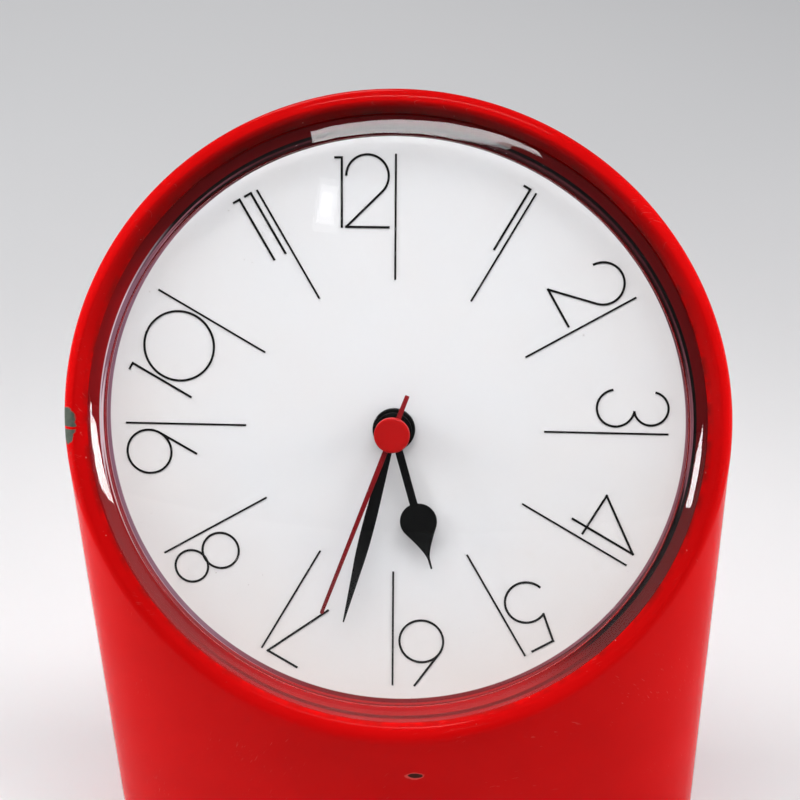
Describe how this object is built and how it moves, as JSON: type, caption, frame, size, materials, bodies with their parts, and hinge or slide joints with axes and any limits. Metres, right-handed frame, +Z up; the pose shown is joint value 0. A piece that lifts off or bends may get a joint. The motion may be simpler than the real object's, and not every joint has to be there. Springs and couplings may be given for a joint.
{
  "type": "table clock",
  "caption": "Table clock: an oval column cut on a slant by a round, leaning dial under a raised crystal, with hands driven by a battery movement.",
  "frame": {"origin": "middle of the footprint, on the surface the clock stands on", "axes": "+Z up; the dial faces -Y and leans back; +X is to the right of someone who reads the clock"},
  "size_m": [0.14, 0.0556, 0.182],
  "materials": {
    "red_shell": "high-gloss moulded plastic with light wear",
    "clear_crystal": "clear polished plastic",
    "dial_white": "satin white paint",
    "print_black": "flat black print",
    "black_metal": "satin black paint",
    "black_fibre": "matt black fibre",
    "dark_red": "satin dark red paint",
    "cap_red": "glossy moulded plastic",
    "black_plastic": "fine-grained moulded plastic",
    "steel": "plated steel",
    "grey_plastic": "moulded plastic",
    "ivory_plastic": "moulded gear plastic",
    "brass": "rolled brass",
    "spring_steel": "bright spring steel",
    "magnet_grey": "sintered magnet",
    "copper": "lacquered copper wire",
    "board_green": "solder-masked board",
    "cell_blue": "plain printed jacket",
    "black_rubber": "soft black rubber"
  },
  "bodies": {
    "case": {"body_shell": "red_shell", "crystal": "clear_crystal", "dial_plate": "dial_white", "dial_print": "print_black", "centre_nut": "black_metal", "nut_washer": "black_fibre", "movement_front_case": "black_plastic", "movement_rear_case": "black_plastic", "movement_screws": "steel", "gear_plate": "grey_plastic", "stator_core": "steel", "coil_bobbin": "ivory_plastic", "coil_winding": "copper", "circuit_board": "board_green", "oscillator": "steel", "battery_cell": "cell_blue", "contact_positive": "brass", "contact_negative": "brass", "base_plate": "black_plastic", "base_screws": "steel", "rubber_feet": "black_rubber"},
    "minute": {"cannon_pinion": "brass", "clutch_spring": "spring_steel", "minute_hand": "black_metal"},
    "hour": {"hour_wheel": "ivory_plastic", "hour_hand": "black_metal"},
    "setting": {"minute_wheel": "ivory_plastic", "setting_knob": "black_plastic"},
    "second": {"second_wheel": "ivory_plastic", "second_hand": "dark_red", "second_hand_cap": "cap_red"},
    "third": {"third_wheel": "ivory_plastic"},
    "centre": {"centre_wheel": "brass"},
    "intermediate": {"intermediate_wheel": "ivory_plastic"},
    "motor": {"rotor": "magnet_grey"},
    "door": {"battery_door": "red_shell"}
  },
  "joints": [
    {"name": "minute_turn", "type": "hinge", "parent": "case", "child": "minute", "pos_m": [0, 0.0013, 0.11638], "axis": [0, 0.9272, -0.3746], "continuous": true},
    {"name": "hour_turn", "type": "hinge", "parent": "case", "child": "hour", "pos_m": [0, 0.0013, 0.11638], "axis": [0, 0.9272, -0.3746], "continuous": true},
    {"name": "setting_turn", "type": "hinge", "parent": "case", "child": "setting", "pos_m": [0.01039, 0.00355, 0.12195], "axis": [0, 0.9272, -0.3746], "continuous": true},
    {"name": "second_turn", "type": "hinge", "parent": "case", "child": "second", "pos_m": [0, 0.0013, 0.11638], "axis": [0, 0.9272, -0.3746], "continuous": true},
    {"name": "third_turn", "type": "hinge", "parent": "case", "child": "third", "pos_m": [-0.01101, -0.00063, 0.11162], "axis": [0, 0.9272, -0.3746], "continuous": true},
    {"name": "centre_turn", "type": "hinge", "parent": "case", "child": "centre", "pos_m": [0, 0.0013, 0.11638], "axis": [0, 0.9272, -0.3746], "continuous": true},
    {"name": "intermediate_turn", "type": "hinge", "parent": "case", "child": "intermediate", "pos_m": [0.00407, -0.00289, 0.10602], "axis": [0, 0.9272, -0.3746], "continuous": true},
    {"name": "motor_turn", "type": "hinge", "parent": "case", "child": "motor", "pos_m": [0.01218, -0.00208, 0.10803], "axis": [0, 0.9272, -0.3746], "continuous": true},
    {"name": "door_lift", "type": "slide", "parent": "case", "child": "door", "axis": [0, 1, 0], "range_m": [0, 0.03]}
  ],
  "couplings": [
    {"joint": "setting_turn", "follows": "minute_turn", "ratio": -0.33333},
    {"joint": "hour_turn", "follows": "minute_turn", "ratio": 0.083333},
    {"joint": "third_turn", "follows": "second_turn", "ratio": -0.13333},
    {"joint": "centre_turn", "follows": "second_turn", "ratio": 0.016667},
    {"joint": "intermediate_turn", "follows": "second_turn", "ratio": -6},
    {"joint": "motor_turn", "follows": "second_turn", "ratio": 30}
  ]
}
